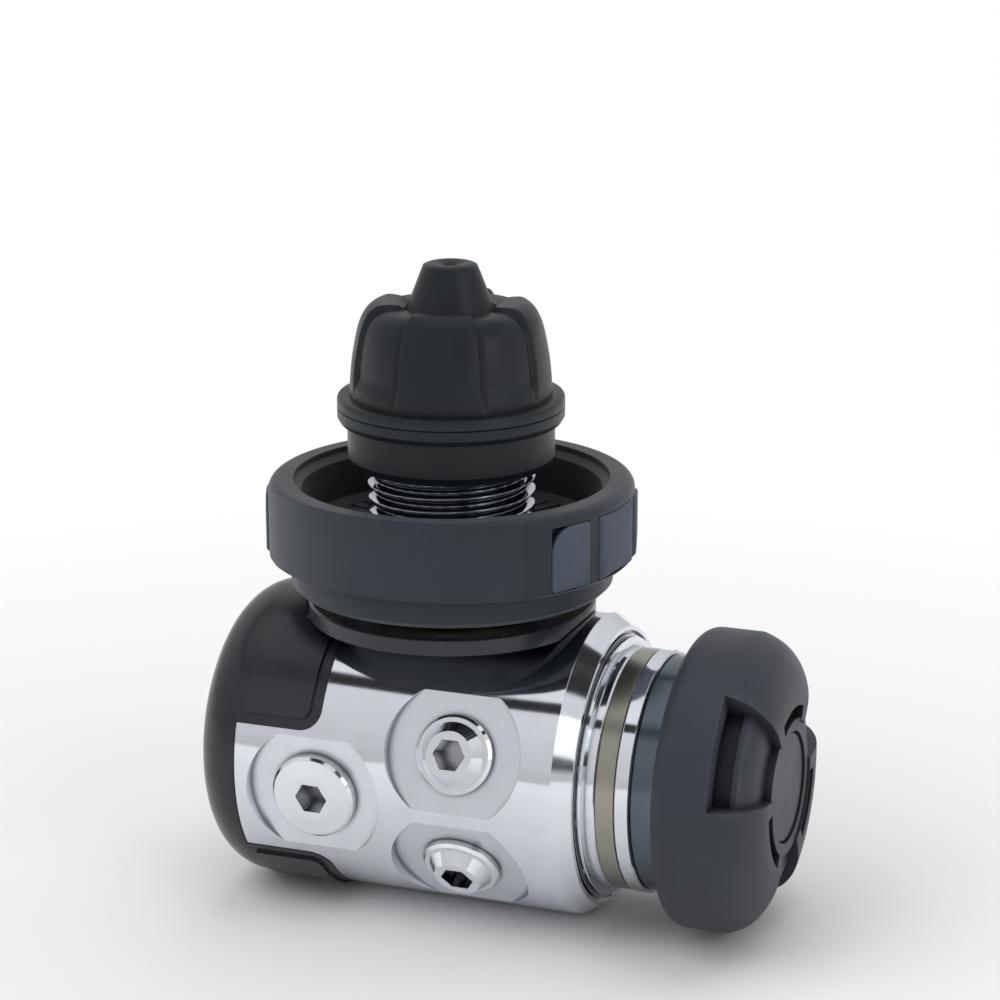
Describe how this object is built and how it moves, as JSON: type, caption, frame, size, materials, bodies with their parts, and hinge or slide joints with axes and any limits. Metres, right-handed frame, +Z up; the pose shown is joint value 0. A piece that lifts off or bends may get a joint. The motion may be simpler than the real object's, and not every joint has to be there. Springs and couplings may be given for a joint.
{
  "type": "scuba regulator first stage",
  "caption": "Diaphragm first stage: chromed barrel with plugged gas ports, a threaded DIN inlet with a turning handwheel, a screw-on dust cap and a lobed end cap.",
  "frame": {"origin": "centre of the connector's sealing face, on the DIN axis, 48 mm above the barrel axis", "axes": "+Z up the DIN axis towards the dust cap, +X along the barrel towards the end cap"},
  "size_m": [0.0799, 0.0474, 0.0897],
  "materials": {
    "chromed_brass": "polished",
    "chromed_plugs": "polished",
    "champagne_ring": "anodised satin",
    "dark_steel": "fine turned",
    "black_cap": "fine grained",
    "boot_rubber": "semi-gloss",
    "wheel_rubber": "fine grained",
    "pad_rubber": "matte textured",
    "dust_cap_plastic": "satin moulded",
    "seal_rubber": "smooth",
    "brass": "turned",
    "spring_steel": "drawn wire",
    "filter_bronze": "sintered",
    "white_polymer": "moulded"
  },
  "bodies": {
    "barrel": {"main_body": "chromed_brass", "rear_boot": "boot_rubber", "high_pressure_plugs": "chromed_plugs", "low_pressure_plugs": "chromed_plugs", "high_pressure_seals": "seal_rubber", "low_pressure_seals": "seal_rubber", "balance_plug": "brass", "balance_plug_seal": "seal_rubber", "balance_stem_seal": "seal_rubber", "poppet_spring": "spring_steel", "crown_orifice": "brass", "crown_seal": "seal_rubber", "diaphragm": "seal_rubber", "main_spring": "spring_steel", "spring_housing": "chromed_brass", "accent_ring": "champagne_ring", "outer_diaphragm": "seal_rubber", "clamp_ring": "dark_steel", "end_cap": "black_cap", "cap_medallion": "black_cap", "inlet_collar": "boot_rubber", "din_connector": "chromed_brass", "connector_seal": "seal_rubber", "face_seal": "seal_rubber", "inlet_filter": "filter_bronze", "filter_clip": "spring_steel"},
    "handwheel": {"din_stud": "chromed_brass", "handwheel": "wheel_rubber", "grip_pads": "pad_rubber", "wheel_collar": "wheel_rubber"},
    "liner": {"cap_liner": "seal_rubber"},
    "dust_cap": {"dust_cap": "dust_cap_plastic", "dust_cap_skirt": "dust_cap_plastic"},
    "sensing_stack": {"lifter": "spring_steel", "friction_washer": "white_polymer", "spring_pad": "brass", "pressure_plunger": "white_polymer"},
    "poppet": {"poppet": "brass"},
    "adjuster": {"adjuster_nut": "brass"}
  },
  "joints": [
    {"name": "handwheel_spin", "type": "hinge", "parent": "barrel", "child": "handwheel", "pos_m": [0, 0, -0.0135], "axis": [0, 0, 1], "continuous": true},
    {"name": "dust_cap_lift", "type": "slide", "parent": "handwheel", "child": "liner", "axis": [0, 0, 1], "range_m": [0, 0.00907]},
    {"name": "dust_cap_turn", "type": "hinge", "parent": "liner", "child": "dust_cap", "pos_m": [0, 0, 0.0015], "axis": [0, 0, 1], "range_deg": [0, 1800]},
    {"name": "diaphragm_lift", "type": "slide", "parent": "barrel", "child": "sensing_stack", "axis": [1, 0, 0], "range_m": [0, 0.0008], "deforming": ["main_spring", "diaphragm", "outer_diaphragm", "poppet_spring"]},
    {"name": "poppet_follow", "type": "slide", "parent": "barrel", "child": "poppet", "axis": [1, 0, 0], "range_m": [0, 0.0008]},
    {"name": "adjuster_turn", "type": "hinge", "parent": "barrel", "child": "adjuster", "pos_m": [0.0315, 0, -0.048], "axis": [1, 0, 0], "range_deg": [-90, 90]}
  ],
  "couplings": [
    {"joint": "dust_cap_lift", "follows": "dust_cap_turn", "m_per_rad": 0.00028871},
    {"joint": "poppet_follow", "follows": "diaphragm_lift", "ratio": 1}
  ]
}
